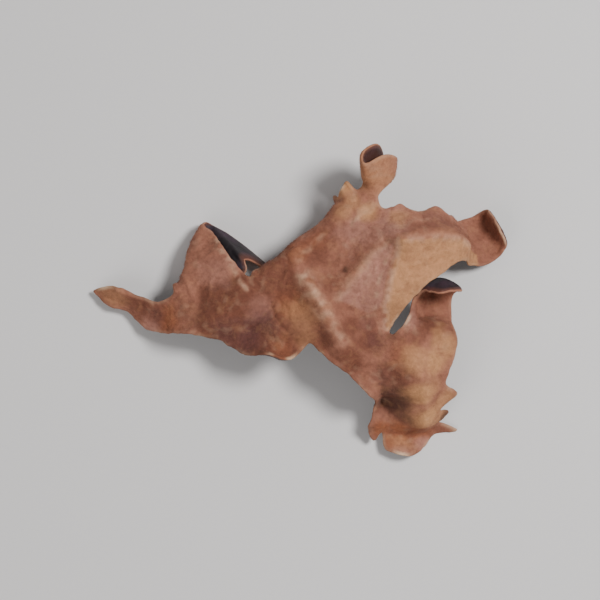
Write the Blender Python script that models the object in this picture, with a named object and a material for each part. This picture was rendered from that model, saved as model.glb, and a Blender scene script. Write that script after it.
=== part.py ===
"""A dried wood ear: one crumpled sheet of fungus that rests on its margins, felted back upwards.

The sheet is drawn flat, as if it were soaked and opened out, with x to the right and y up the piece,
in millimetres from its middle. It then gets its relief, is folded from the tips inwards as it dried,
and gets its thickness last. Points are in millimetres until the mesh is made, which is in metres.
"""

import bpy
import numpy as np
from mathutils import Vector, noise
from mathutils.geometry import delaunay_2d_cdt

MM = 0.001

# Driving dimensions, in millimetres
THICKNESS = 1.15
RIM_HALF_THICKNESS = 0.26
RIM_TAPER = 0.9
RAGGED_DEPTH = 0.35
RAGGED_LENGTH = 3.2
RUFFLE_LENGTH = 7.6
RUFFLE_HEIGHT = 2.2
RUFFLE_REACH = 6.5
PRESSED_FLAT = 0.5

# How far apart the points of the mesh lie
RIM_SPACING = 1.25
RIM_INSET = 0.6
MARGIN_SPACING = 1.55
MARGIN_WIDTH = 5.5
MIDDLE_SPACING = 2.5

# The outline, opened out flat, anticlockwise from the slit at the right
FLAP_EDGE = ((6.8, -7.4), (11.0, -2.2), (16.4, 3.2), (22.4, 7.4))
RIGHT_ARM_END = ((27.0, 9.0), (32.0, 9.6), (36.4, 12.6), (37.6, 17.0), (34.0, 21.4), (29.0, 20.4))
SCALLOPED_TOP = ((24.8, 20.8), (20.6, 17.4), (16.6, 18.4), (12.4, 17.0), (8.8, 18.8), (5.6, 18.2))
CURLED_TIP = (
    (4.3, 20.0), (5.4, 22.6), (10.6, 24.4), (12.8, 27.2),
    (7.4, 29.2), (2.6, 32.0), (0.6, 30.0), (2.4, 24.8),
)
NODULES = ((0.0, 22.6), (-1.9, 24.6), (-4.4, 22.4))
ROLLED_MARGIN = ((-8.5, 26.0), (-13.5, 26.8), (-18.0, 21.5), (-20.0, 13.5), (-21.6, 8.0), (-23.4, 3.8))
TURNED_CORNER = (
    (-27.5, 8.4), (-31.0, 13.4), (-35.4, 18.0), (-41.5, 21.0),
    (-48.0, 18.6), (-52.0, 13.8), (-47.5, 9.2), (-42.0, 5.8), (-40.6, 2.8),
)
LEFT_ARM = (
    (-42.6, 1.6), (-46.0, 1.0), (-49.2, 2.4), (-52.6, 5.2), (-56.6, 5.4), (-60.2, 4.4),
    (-58.8, 2.0), (-55.6, -0.6), (-53.0, -4.0), (-50.4, -5.4), (-46.0, -5.6), (-40.0, -6.4),
)
WING_FOOT = (
    (-33.0, -9.4), (-27.0, -11.4), (-21.5, -13.4), (-16.4, -14.4),
    (-12.2, -12.4), (-9.6, -11.2), (-6.0, -14.2),
)
LOBE_LEFT = ((-2.4, -17.0), (1.4, -20.6), (5.0, -25.0), (5.2, -29.0))
FRILL = (
    (4.6, -32.2), (6.0, -34.6), (7.8, -33.6), (8.6, -36.8), (12.0, -38.8),
    (15.6, -37.0), (17.6, -35.2), (21.4, -34.8), (17.8, -32.4),
)
TOOTHED_RIGHT = ((19.2, -29.8), (16.8, -27.4), (19.6, -25.0), (17.2, -21.4), (18.8, -17.0), (20.4, -12.5))
LOBE_TOP = ((23.8, -8.4), (24.6, -3.8), (20.6, -1.2), (15.4, -4.0), (11.4, -6.4), (7.6, -9.0))
OUTLINE = (
    FLAP_EDGE + RIGHT_ARM_END + SCALLOPED_TOP + CURLED_TIP + NODULES + ROLLED_MARGIN
    + TURNED_CORNER + LEFT_ARM + WING_FOOT + LOBE_LEFT + FRILL + TOOTHED_RIGHT + LOBE_TOP
)

# Ridges and valleys of the flat sheet: points along each, its height at each, its reach either side
RELIEF = {
    "flap ridge": (((6.0, -7.6), (6.0, -3.0), (7.2, 2.6), (9.6, 10.0)), (0.6, 2.4, 3.6, 4.0), 11.0, 20.0),
    "flap top": (((9.6, 10.0), (16.0, 11.4), (24.0, 10.6)), (3.0, 3.4, 2.0), 7.0, 5.0),
    "wing crest": (
        ((-12.5, 5.0), (-9.8, 0.4), (-7.2, -3.8), (-3.4, -10.6)), (0.8, 3.0, 2.8, 1.0), 5.0, 4.0,
    ),
    "body fold": (((-4.6, -1.4), (-0.5, 3.4), (3.6, 8.6)), (1.0, 2.0, 1.4), 5.0, 4.0),
    "body valley": (((1.4, -5.6), (4.0, -11.0)), (-0.8, -0.8), 4.0, 3.5),
    "wing hollow": (((-24.0, -8.0), (-18.0, -2.0)), (-2.8, -1.8), 8.0, 8.0),
    "lobe ridge": (((8.5, -10.0), (12.6, -19.0), (14.0, -29.0)), (0.8, 3.0, 3.4), 7.0, 6.0),
    "lobe hollow": (((4.6, -18.0), (7.4, -27.5)), (-0.4, -3.4), 5.0, 4.5),
    "under the flap": (((10.0, -8.0), (20.0, -6.5)), (-2.5, -5.0), 9.0, 8.0),
}
CREST_SHARPNESS = 1.6
# How soon the reach of one side has turned into that of the other, round the end of a ridge
ROUND_THE_ENDS = 0.75
# Keeps a point that lies on a line from dividing by nothing
LEAST_GAP = 1e-8
# Shallow waves all over: how long, how high, and the seed of each
CRUMPLE = ((21.0, 1.7, 0.0), (9.5, 0.75, 3.7), (5.0, 0.3, 7.4))
RUFFLE_SEED = 21.0
RAGGED_SEED = 7.3
# Places where the margin is rolled up and so has shallower ruffles, and how far each reaches
SMOOTH_ROLLS = (((19.0, -2.0), 8.0), ((4.0, 29.0), 9.0), ((-46.0, 14.0), 9.0))
SMOOTH_SHARE = 0.3
# A fold flattens relief on its inside that is higher than this share of its radius, within this turn
ROLL_ROOM = 0.5
ROLL_ROOM_TURN = 0.6

# Folds, from the tips inwards: a point on the fold's line, the heading in degrees in which the sheet
# is folded away, radius, angle, half the fold's width, and how far the fold takes to run out
LOBE_MARGIN_UP = ((17.6, -7.4), 64.0, 2.0, -135.0, 5.5, 4.0)
CURLED_TIP_OVER = ((2.0, 20.4), 60.0, 2.6, -70.0, 5.0, 2.5)
CORNER_UNDER = ((-35.3, 14.8), 165.0, 1.9, 176.0, 9.0, 3.0)
MARGIN_UNDER = ((-10.6, 10.8), 130.0, 3.0, 172.0, 8.5, 5.0)
FOOT_UP = ((-18.5, -10.0), -94.0, 2.8, -80.0, 7.0, 6.0)
FOOT_DOWN = ((-20.0, -5.0), -94.0, 9.0, 25.0, 10.0, 8.0)
LEFT_ARM_DOWN = ((-38.0, -2.0), 180.0, 12.0, 8.0, 12.0, 4.0)
FRILL_UP = ((10.0, -33.0), -90.0, 3.4, -60.0, 9.0, 5.0)
RIGHT_ARM_END_UP = ((29.5, 14.5), 5.0, 2.8, -125.0, 6.0, 5.0)
TOP_DOWN = ((16.0, 17.5), 84.0, 4.0, 60.0, 9.0, 6.0)

# Wide bends of whole limbs: a point, heading, radius and angle
LOBE_TOP_DOWN = ((11.0, -8.4), 35.0, 8.0, 27.0)
RIGHT_ARM_DOWN = ((11.0, 12.0), 25.0, 14.0, 60.0)
LOBE_DOWN = ((4.0, -10.0), -68.0, 18.0, 46.0)
WING_DOWN = ((-14.0, 0.0), 180.0, 30.0, 16.0)
MARGIN_DOWN = ((-4.0, 10.0), 122.0, 18.0, 16.0)

# The lobe swings up to the slit: apex, heading where it starts and is full, angle, where it is full
SLIT_END = (7.0, -8.0)
LOBE_SWING = (-95.0, 12.0, 27.0, 9.0)
# The curled tip's tube: base, heading, radius at its neck and mouth, length, the reach either side
# at its base and how it grows along it, and the length in which the sheet closes to a tube
TIP_TUBE = ((2.0, 20.4), 60.0, 1.3, 2.4, 10.0, 2.6, 0.7, 4.0)
# The left arm's twist: where it starts, heading, length and angle
LEFT_ARM_TWIST = ((-40.0, -3.4), 172.0, 16.0, -50.0)
# Lines in the flat sheet that part one limb from its neighbours: a point and a heading
LOBE_FROM_FLAP = (SLIT_END, 42.0)
LOBE_FROM_RIGHT_ARM = ((17.0, 3.0), 10.0)
CORNER_FROM_LEFT_ARM = ((-40.6, 2.6), 168.0)

# How far the whole piece leans, in degrees, so that it lies on three of its margins
LEAN_ABOUT_X = -1.79
LEAN_ABOUT_Y = 1.6


def ease(t):
    """A smooth step from 0 to 1."""
    t = np.clip(t, 0.0, 1.0)
    return t * t * (3.0 - 2.0 * t)


def direction(heading):
    """The unit vector at a heading in degrees, anticlockwise from +x."""
    return np.array([np.cos(np.radians(heading)), np.sin(np.radians(heading))])


def noise_at(flat, length, seed):
    """Smooth noise between about -1 and 1 whose features are as wide as the length."""
    return np.array([noise.noise(Vector((x / length, y / length, seed))) for x, y in flat])


def closed_curve(points, spacing):
    """A smooth closed curve through the points, as points about the spacing apart."""
    points = np.array(points)
    before, after, beyond = np.roll(points, 1, 0), np.roll(points, -1, 0), np.roll(points, -2, 0)
    curve = []
    for p0, p1, p2, p3 in zip(before, points, after, beyond):
        steps = max(2, round(float(np.linalg.norm(p2 - p1)) / spacing))
        for t in np.arange(steps) / steps:
            bend_in = p1 + 0.5 * t * ((p2 - p0) + t * (2 * p0 - 5 * p1 + 4 * p2 - p3))
            curve.append(bend_in + 0.5 * t**3 * (3 * p1 - 3 * p2 + p3 - p0))
    return np.array(curve)


def outward(curve):
    """The unit normal of an anticlockwise closed curve at each of its points."""
    along = np.roll(curve, -1, 0) - np.roll(curve, 1, 0)
    across = np.column_stack([along[:, 1], -along[:, 0]])
    return across / np.linalg.norm(across, axis=1)[:, None]


def distance_to(points, line, closed):
    """For each point, its distance to a line of points, the place along it, and its side: 1 at the
    left, -1 at the right and in between beyond the line's ends.
    """
    starts = line if closed else line[:-1]
    runs = (np.roll(line, -1, 0) if closed else line[1:]) - starts
    best = np.full(len(points), np.inf)
    place = np.zeros(len(points))
    side = np.ones(len(points))
    for index, (start, run) in enumerate(zip(starts, runs)):
        offset = points - start
        share = np.clip(offset @ run / (run @ run), 0.0, 1.0)
        gap = np.linalg.norm(offset - share[:, None] * run, axis=1)
        nearer = gap < best
        best[nearer] = gap[nearer]
        place[nearer] = index + share[nearer]
        across = run[0] * offset[:, 1] - run[1] * offset[:, 0]
        side[nearer] = (across / np.maximum(np.linalg.norm(run) * gap, LEAST_GAP))[nearer]
    return best, place, side


def inside(points, curve):
    """Which points lie inside a closed curve."""
    within = np.zeros(len(points), bool)
    for (x0, y0), (x1, y1) in zip(curve, np.roll(curve, -1, 0)):
        spans = (points[:, 1] < y0) != (points[:, 1] < y1)
        if y0 != y1:
            within ^= spans & (points[:, 0] < x0 + (points[:, 1] - y0) * (x1 - x0) / (y1 - y0))
    return within


def lattice(low, high, spacing):
    """Points of a triangular lattice over a rectangle."""
    rows = np.arange(low[1], high[1], spacing * np.sqrt(3) / 2)
    columns = np.arange(low[0], high[0], spacing)
    points = []
    for index, y in enumerate(rows):
        points.append(np.column_stack([columns + spacing / 2 * (index % 2), np.full(len(columns), y)]))
    return np.concatenate(points)


def crest_points(rim):
    """Points along each ridge and valley, so that edges of the mesh follow them."""
    found = []
    for points, _, _, _ in RELIEF.values():
        for start, end in zip(np.array(points[:-1]), np.array(points[1:])):
            steps = round(float(np.linalg.norm(end - start)) / MARGIN_SPACING)
            found.append(start + (end - start) * (np.arange(steps + 1) / steps)[:, None])
    found = np.unique(np.concatenate(found), axis=0)
    clear = distance_to(found, rim, True)[0] > RIM_INSET + 0.5 * MARGIN_SPACING
    return found[clear & inside(found, rim)]


def flat_sheet():
    """The opened-out sheet: its points, triangles, distance from the rim, and how many rim points."""
    rim = closed_curve(OUTLINE, RIM_SPACING)
    rim = rim + outward(rim) * (RAGGED_DEPTH * noise_at(rim, RAGGED_LENGTH, RAGGED_SEED))[:, None]
    inner = rim - outward(rim) * RIM_INSET
    inner = inner[distance_to(inner, rim, True)[0] > 0.8 * RIM_INSET]
    middle = []
    for spacing, nearest, furthest in (
        (MARGIN_SPACING, RIM_INSET + 0.5 * MARGIN_SPACING, MARGIN_WIDTH),
        (MIDDLE_SPACING, MARGIN_WIDTH + 0.3 * MIDDLE_SPACING, np.inf),
    ):
        points = lattice(rim.min(0), rim.max(0), spacing)
        points = points[inside(points, rim)]
        gap = distance_to(points, rim, True)[0]
        middle.append(points[(gap > nearest) & (gap < furthest)])
    crests = crest_points(rim)
    middle = np.concatenate(middle)
    middle = middle[np.linalg.norm(middle[:, None] - crests, axis=2).min(1) > 0.6 * MARGIN_SPACING]
    points = np.concatenate([rim, inner, crests, middle])
    corners = [Vector(point) for point in points]
    flat, _, triangles, _, _, _ = delaunay_2d_cdt(corners, [], [range(len(rim))], 1, 1e-6)
    flat = np.array([tuple(point) for point in flat])
    triangles = np.array([tuple(triangle) for triangle in triangles])
    return flat, triangles, distance_to(flat, rim, True)[0], len(rim)


def relief(flat, rim_distance):
    """The height of each point of the flat sheet."""
    height = np.zeros(len(flat))
    for points, heights, left_reach, right_reach in RELIEF.values():
        gap, place, side = distance_to(flat, np.array(points), False)
        crest = np.interp(place, np.arange(len(heights)), heights)
        reach = right_reach + (left_reach - right_reach) * ease(0.5 + ROUND_THE_ENDS * side)
        height += crest * np.clip(1.0 - gap / reach, 0.0, 1.0) ** CREST_SHARPNESS
    for length, amplitude, seed in CRUMPLE:
        height += amplitude * noise_at(flat, length, seed)
    near_rim = ease(1.0 - rim_distance / RUFFLE_REACH)
    for centre, reach in SMOOTH_ROLLS:
        away = ease(np.linalg.norm(flat - np.array(centre), axis=1) / reach - 0.5)
        near_rim = near_rim * (SMOOTH_SHARE + (1.0 - SMOOTH_SHARE) * away)
    return height + RUFFLE_HEIGHT * near_rim * noise_at(flat, RUFFLE_LENGTH, RUFFLE_SEED)


def right_of(flat, start, heading):
    """1 for points to the right of a line in the flat sheet, as one walks along it, and 0 to its left."""
    return ((flat - np.array(start)) @ direction(heading - 90) > 0).astype(float)


def bend(points, at, heading, radius, angle, half_width=None, soft=4.0, share=1.0):
    """Bends the sheet beyond a line: down for a positive angle, up for a negative one."""
    ahead = direction(heading)
    side = direction(heading + 90)
    offset = points[:, :2] - np.array(at)
    p = offset @ ahead
    q = offset @ side
    strength = share * np.ones(len(points))
    if half_width is not None:
        strength = strength * (1.0 - ease((np.abs(q) - half_width) / soft))
    up = -np.sign(angle)
    most = np.radians(abs(angle)) * strength
    turn = np.clip(p / radius, 0.0, most)
    rest = np.maximum(p - radius * most, 0.0)
    height = points[:, 2] * up
    height = height - ease(turn / ROLL_ROOM_TURN) * np.maximum(height - ROLL_ROOM * radius, 0.0)
    bent_p = np.where(p > 0, (radius - height) * np.sin(turn) + rest * np.cos(turn), p)
    bent_h = np.where(p > 0, radius - (radius - height) * np.cos(turn) + rest * np.sin(turn), height)
    plan = np.array(at) + bent_p[:, None] * ahead + q[:, None] * side
    return np.column_stack([plan, bent_h * up])


def roll_lengthwise(points, base, heading, neck_radius, mouth_radius, length, reach, spread, closing):
    """Rolls a tongue of the sheet towards its dark face into a tube that widens along the heading."""
    ahead = direction(heading)
    side = direction(heading + 90)
    offset = points[:, :2] - np.array(base)
    p = offset @ ahead
    q = offset @ side
    within = (p > 0) & (np.abs(q) < reach + spread * p)
    radius = np.interp(p, (0.0, length), (neck_radius, mouth_radius))
    curl = np.maximum(ease(p / closing), 1e-4) / radius
    turn = q * curl
    height = points[:, 2]
    rolled_q = np.where(within, np.sin(turn) * (1.0 / curl + height), q)
    rolled_h = np.where(within, np.cos(turn) * (1.0 / curl + height) - 1.0 / curl, height)
    plan = np.array(base) + p[:, None] * ahead + rolled_q[:, None] * side
    return np.column_stack([plan, rolled_h])


def twist(points, start, heading, length, angle):
    """Turns the sheet about a line along the heading, more and more from the start to its length."""
    ahead = direction(heading)
    side = direction(heading + 90)
    offset = points[:, :2] - np.array(start)
    p = offset @ ahead
    q = offset @ side
    turn = np.radians(angle) * ease(p / length)
    height = points[:, 2]
    turned_q = q * np.cos(turn) - height * np.sin(turn)
    turned_h = q * np.sin(turn) + height * np.cos(turn)
    plan = np.array(start) + p[:, None] * ahead + turned_q[:, None] * side
    return np.column_stack([plan, turned_h])


def swing(points, flat, apex, first, last, angle, grow, share):
    """Turns the sheet in its own plane about an apex, from nothing at one heading to all at another."""
    spread = flat - np.array(apex)
    heading = np.degrees(np.arctan2(spread[:, 1], spread[:, 0]))
    share = share * ease((heading - first) / (last - first))
    turn = np.radians(angle) * share * ease(np.linalg.norm(spread, axis=1) / grow)
    offset = points[:, :2] - np.array(apex)
    plan = np.column_stack([
        offset[:, 0] * np.cos(turn) - offset[:, 1] * np.sin(turn),
        offset[:, 0] * np.sin(turn) + offset[:, 1] * np.cos(turn),
    ])
    return np.column_stack([plan + np.array(apex), points[:, 2]])


def lean(points, about_x, about_y):
    """Turns the whole piece so that it lies on its lowest margins."""
    a, b = np.radians(about_x), np.radians(about_y)
    x, y, z = points.T
    y, z = y * np.cos(a) - z * np.sin(a), y * np.sin(a) + z * np.cos(a)
    x, z = x * np.cos(b) + z * np.sin(b), z * np.cos(b) - x * np.sin(b)
    return np.column_stack([x, y, z])


def dried(flat, rim_distance):
    """The middle surface of the dried piece, folded from its tips inwards."""
    lobe = right_of(flat, *LOBE_FROM_FLAP) * right_of(flat, *LOBE_FROM_RIGHT_ARM)
    corner = right_of(flat, *CORNER_FROM_LEFT_ARM)
    points = np.column_stack([flat, relief(flat, rim_distance)])
    points = bend(points, *LOBE_MARGIN_UP, lobe)
    points = bend(points, *LOBE_TOP_DOWN, share=lobe)
    points = swing(points, flat, SLIT_END, *LOBE_SWING, lobe)
    points = roll_lengthwise(points, *TIP_TUBE)
    points = bend(points, *CURLED_TIP_OVER)
    points = bend(points, *CORNER_UNDER, corner)
    points = bend(points, *MARGIN_UNDER)
    points = bend(points, *FOOT_UP)
    points = bend(points, *FOOT_DOWN)
    points = bend(points, *LEFT_ARM_DOWN, 1.0 - corner)
    points = bend(points, *FRILL_UP)
    points = bend(points, *RIGHT_ARM_END_UP)
    points = bend(points, *TOP_DOWN)
    points = twist(points, *LEFT_ARM_TWIST)
    points = bend(points, *RIGHT_ARM_DOWN)
    points = bend(points, *LOBE_DOWN)
    points = bend(points, *WING_DOWN)
    points = bend(points, *MARGIN_DOWN)
    return lean(points, LEAN_ABOUT_X, LEAN_ABOUT_Y)


def normals_of(points, triangles):
    """The unit normal of the sheet at each point."""
    a, b, c = (points[triangles[:, k]] for k in range(3))
    facing = np.cross(b - a, c - a)
    total = np.zeros_like(points)
    for k in range(3):
        np.add.at(total, triangles[:, k], facing)
    return total / np.linalg.norm(total, axis=1)[:, None]


def half_thickness(rim_distance):
    """Half the sheet's thickness, which rounds down to a thin rim."""
    depth = 1.0 - np.clip(rim_distance / RIM_TAPER, 0.0, 1.0)
    return RIM_HALF_THICKNESS + (THICKNESS / 2 - RIM_HALF_THICKNESS) * np.sqrt(1.0 - depth**2)


def wood_ear_mesh():
    """The closed mesh of the piece: felted back, dark face and a rounded rim between them."""
    flat, triangles, rim_distance, rim_count = flat_sheet()
    middle = dried(flat, rim_distance)
    normal = normals_of(middle, triangles)
    half = half_thickness(rim_distance)[:, None]
    points = np.concatenate([middle + normal * half, middle - normal * half])
    points[:, 2] = np.maximum(points[:, 2] - points[:, 2].min() - PRESSED_FLAT, 0.0)
    centre = (points.max(0) + points.min(0)) / 2
    points[:, :2] -= centre[:2]
    count = len(middle)
    rim = np.arange(rim_count)
    after = np.roll(rim, -1)
    walls = np.column_stack([rim, rim + count, after + count, after])
    faces = triangles.tolist() + (triangles[:, ::-1] + count).tolist() + walls.tolist()
    mesh = bpy.data.meshes.new("wood_ear")
    mesh.from_pydata((points * MM).tolist(), [], faces)
    mesh.shade_smooth()
    return mesh


def felted_back_material():
    """The tan, matte felt of the dried back."""
    material = bpy.data.materials.new("dried_fungus")
    material.use_nodes = True
    shader = material.node_tree.nodes["Principled BSDF"]
    shader.inputs["Base Color"].default_value = (0.36, 0.19, 0.11, 1.0)
    shader.inputs["Roughness"].default_value = 0.85
    shader.inputs["Metallic"].default_value = 0.0
    return material


def main():
    for old in list(bpy.data.objects):
        bpy.data.objects.remove(old)
    wood_ear = bpy.data.objects.new("wood_ear", wood_ear_mesh())
    wood_ear.data.materials.append(felted_back_material())
    bpy.context.scene.collection.objects.link(wood_ear)


main()
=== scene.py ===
"""A dried wood ear, laid out as a Blender add-on: the crumpled sheet, the nap of its felted back and
a plain studio. The sheet is drawn flat in millimetres, given its relief, and folded from its tips
inwards, as its solid is; here it has fine wrinkles, a rounded rim and its real surfaces as well.
"""

import math

import bpy
import numpy as np
from bpy.props import FloatProperty, FloatVectorProperty, IntProperty, PointerProperty
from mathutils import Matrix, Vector, noise
from mathutils.geometry import delaunay_2d_cdt


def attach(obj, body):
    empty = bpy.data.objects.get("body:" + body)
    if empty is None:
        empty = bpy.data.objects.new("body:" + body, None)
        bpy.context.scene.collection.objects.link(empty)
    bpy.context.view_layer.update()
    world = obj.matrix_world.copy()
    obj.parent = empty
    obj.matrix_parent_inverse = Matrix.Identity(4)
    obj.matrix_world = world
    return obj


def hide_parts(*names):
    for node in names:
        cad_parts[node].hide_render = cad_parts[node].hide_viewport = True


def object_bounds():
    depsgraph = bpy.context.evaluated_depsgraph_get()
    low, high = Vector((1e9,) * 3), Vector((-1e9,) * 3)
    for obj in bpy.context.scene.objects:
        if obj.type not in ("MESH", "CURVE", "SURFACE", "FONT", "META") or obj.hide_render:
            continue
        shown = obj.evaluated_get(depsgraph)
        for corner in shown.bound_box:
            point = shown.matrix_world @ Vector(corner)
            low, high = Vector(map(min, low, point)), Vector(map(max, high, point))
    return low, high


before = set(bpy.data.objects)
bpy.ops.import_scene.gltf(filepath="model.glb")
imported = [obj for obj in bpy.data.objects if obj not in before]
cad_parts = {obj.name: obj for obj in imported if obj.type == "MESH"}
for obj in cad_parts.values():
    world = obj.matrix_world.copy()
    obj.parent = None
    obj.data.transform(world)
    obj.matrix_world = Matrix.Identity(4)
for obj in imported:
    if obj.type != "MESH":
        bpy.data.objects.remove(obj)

bl_info = {
    "name": "Dried Wood Ear",
    "version": (1, 0, 0),
    "blender": (4, 5, 0),
    "location": "3D View > Sidebar > Wood Ear",
    "description": "Builds a dried wood ear with a felted back, a satin dark face and a plain studio",
    "category": "Object",
}

MM = 0.001
CAD_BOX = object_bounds()

# The sheet's own sizes in millimetres, the same as its solid's
RIM_HALF_THICKNESS = 0.26
RIM_TAPER = 0.9
RAGGED_DEPTH = 0.35
RAGGED_LENGTH = 3.2
RAGGED_SEED = 7.3
# The rim is ragged once more, with these shares of that depth and length
FINER_RAGGED_DEPTH = 0.4
FINER_RAGGED_LENGTH = 0.35
# The ruffles of the margin, and how far they reach in from the rim
RUFFLE_LENGTH = 7.6
RUFFLE_HEIGHT = 2.2
RUFFLE_REACH = 6.5
RUFFLE_SEED = 21.0
# How much of the lowest places is pressed level where the piece lies
PRESSED_FLAT = 0.5
# How far the points inside the rim keep from it, in point spacings, and how near two are one
RIM_ROOM = 0.6
MERGE_WITHIN = 1e-6
# The rows of points that round the rim: the angle of each up from level, and how far they bulge
RIM_ANGLES = (50.0, 18.0, -18.0, -50.0)
RIM_BULGE = 0.8

# The outline, opened out flat, anticlockwise from the slit at the right
FLAP_EDGE = ((6.8, -7.4), (11.0, -2.2), (16.4, 3.2), (22.4, 7.4))
RIGHT_ARM_END = (
    (27.0, 9.0), (32.0, 9.6), (36.4, 12.6), (37.6, 17.0), (34.0, 21.4), (29.0, 20.4),
)
SCALLOPED_TOP = (
    (24.8, 20.8), (20.6, 17.4), (16.6, 18.4), (12.4, 17.0), (8.8, 18.8), (5.6, 18.2),
)
CURLED_TIP = (
    (4.3, 20.0), (5.4, 22.6), (10.6, 24.4), (12.8, 27.2),
    (7.4, 29.2), (2.6, 32.0), (0.6, 30.0), (2.4, 24.8),
)
NODULES = ((0.0, 22.6), (-1.9, 24.6), (-4.4, 22.4))
ROLLED_MARGIN = (
    (-8.5, 26.0), (-13.5, 26.8), (-18.0, 21.5), (-20.0, 13.5), (-21.6, 8.0), (-23.4, 3.8),
)
TURNED_CORNER = (
    (-27.5, 8.4), (-31.0, 13.4), (-35.4, 18.0), (-41.5, 21.0),
    (-48.0, 18.6), (-52.0, 13.8), (-47.5, 9.2), (-42.0, 5.8), (-40.6, 2.8),
)
LEFT_ARM = (
    (-42.6, 1.6), (-46.0, 1.0), (-49.2, 2.4), (-52.6, 5.2), (-56.6, 5.4), (-60.2, 4.4),
    (-58.8, 2.0), (-55.6, -0.6), (-53.0, -4.0), (-50.4, -5.4), (-46.0, -5.6), (-40.0, -6.4),
)
WING_FOOT = (
    (-33.0, -9.4), (-27.0, -11.4), (-21.5, -13.4), (-16.4, -14.4),
    (-12.2, -12.4), (-9.6, -11.2), (-6.0, -14.2),
)
LOBE_LEFT = ((-2.4, -17.0), (1.4, -20.6), (5.0, -25.0), (5.2, -29.0))
FRILL = (
    (4.6, -32.2), (6.0, -34.6), (7.8, -33.6), (8.6, -36.8), (12.0, -38.8),
    (15.6, -37.0), (17.6, -35.2), (21.4, -34.8), (17.8, -32.4),
)
TOOTHED_RIGHT = (
    (19.2, -29.8), (16.8, -27.4), (19.6, -25.0), (17.2, -21.4), (18.8, -17.0), (20.4, -12.5),
)
LOBE_TOP = (
    (23.8, -8.4), (24.6, -3.8), (20.6, -1.2), (15.4, -4.0), (11.4, -6.4), (7.6, -9.0),
)
OUTLINE = (
    FLAP_EDGE + RIGHT_ARM_END + SCALLOPED_TOP + CURLED_TIP + NODULES + ROLLED_MARGIN
    + TURNED_CORNER + LEFT_ARM + WING_FOOT + LOBE_LEFT + FRILL + TOOTHED_RIGHT + LOBE_TOP
)

# Ridges and valleys of the flat sheet: points along each, its height at each, its reach either side
RELIEF = {
    "flap ridge": (
        ((6.0, -7.6), (6.0, -3.0), (7.2, 2.6), (9.6, 10.0)), (0.6, 2.4, 3.6, 4.0), 11.0, 20.0,
    ),
    "flap top": (((9.6, 10.0), (16.0, 11.4), (24.0, 10.6)), (3.0, 3.4, 2.0), 7.0, 5.0),
    "wing crest": (
        ((-12.5, 5.0), (-9.8, 0.4), (-7.2, -3.8), (-3.4, -10.6)), (0.8, 3.0, 2.8, 1.0), 5.0, 4.0,
    ),
    "body fold": (((-4.6, -1.4), (-0.5, 3.4), (3.6, 8.6)), (1.0, 2.0, 1.4), 5.0, 4.0),
    "body valley": (((1.4, -5.6), (4.0, -11.0)), (-0.8, -0.8), 4.0, 3.5),
    "wing hollow": (((-24.0, -8.0), (-18.0, -2.0)), (-2.8, -1.8), 8.0, 8.0),
    "lobe ridge": (((8.5, -10.0), (12.6, -19.0), (14.0, -29.0)), (0.8, 3.0, 3.4), 7.0, 6.0),
    "lobe hollow": (((4.6, -18.0), (7.4, -27.5)), (-0.4, -3.4), 5.0, 4.5),
    "under the flap": (((10.0, -8.0), (20.0, -6.5)), (-2.5, -5.0), 9.0, 8.0),
}
CREST_SHARPNESS = 1.6
# A crest is rounded over this width, so that it has no edge where its two slopes meet
CREST_ROUNDING = 0.2
# How soon the reach of one side has turned into that of the other, round the end of a ridge
ROUND_THE_ENDS = 0.75
# Keeps a point that lies on a line from dividing by nothing
LEAST_GAP = 1e-8
# How often the normals are averaged with their neighbours'
NORMAL_ROUNDS = 8
# What the colours take for a crest or a valley, where the felt gets a painted highlight on its crests
# and painted shade in its valleys: in full from this height of a ridge, at most this for a valley, and
# over this distance from its line
FULL_CREST = 3.0
MOST_VALLEY = -0.3
CREST_REACH = 1.3
# Shallow waves all over: how long, how high, and the seed of each
CRUMPLE = ((21.0, 1.7, 0.0), (9.5, 0.75, 3.7), (5.0, 0.3, 7.4))
# Wrinkles with a crest, which only the fine surface has: how long, how high, and the seed of each
WRINKLES = ((6.0, 0.28, 31.0), (3.0, 0.16, 37.0), (1.5, 0.08, 43.0))
# Creases, as narrow valleys: how long, how deep, and the seed of each
CREASES = ((7.5, 0.28, 61.0), (3.4, 0.12, 67.0))
# How narrow their lines are, and the patches in which they come and go: how many times as long as a
# wrinkle, and how clear
WRINKLE_NARROWNESS = 3.6
PATCH_LENGTH = 3.1
PATCH_CONTRAST = 1.6
# The height from which the colours take a wrinkle for a crest in full, and the wrinkles' share in it
FULL_WRINKLE = 0.35
WRINKLE_SHARE = 0.6
# How the flat places are pushed about: how long, how far, and the seed of each
WARP = ((9.0, 2.2, 71.0), (3.0, 0.5, 73.0))
# Places where the margin is rolled up and so has shallower ruffles, how far each reaches, and the
# share of that reach over which they are at their shallowest
SMOOTH_ROLLS = (((19.0, -2.0), 8.0), ((4.0, 29.0), 9.0), ((-46.0, 14.0), 9.0))
SMOOTH_CORE = 0.5
SMOOTH_SHARE = 0.3
# Inside a roll the relief keeps to this share of the radius once the sheet has turned by so much, in
# radians
ROLL_ROOM = 0.5
ROLL_ROOM_TURN = 0.6

# Folds, from the tips inwards: a point on the fold's line, the heading in degrees in which the sheet
# is folded away, radius, angle, half the fold's width, and how far the fold takes to run out
LOBE_MARGIN_UP = ((17.6, -7.4), 64.0, 2.0, -135.0, 5.5, 4.0)
CURLED_TIP_OVER = ((2.0, 20.4), 60.0, 2.6, -70.0, 5.0, 2.5)
CORNER_UNDER = ((-35.3, 14.8), 165.0, 1.9, 176.0, 9.0, 3.0)
MARGIN_UNDER = ((-10.6, 10.8), 130.0, 3.0, 172.0, 8.5, 5.0)
FOOT_UP = ((-18.5, -10.0), -94.0, 2.8, -80.0, 7.0, 6.0)
FOOT_DOWN = ((-20.0, -5.0), -94.0, 9.0, 25.0, 10.0, 8.0)
LEFT_ARM_DOWN = ((-38.0, -2.0), 180.0, 12.0, 8.0, 12.0, 4.0)
FRILL_UP = ((10.0, -33.0), -90.0, 3.4, -60.0, 9.0, 5.0)
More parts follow.
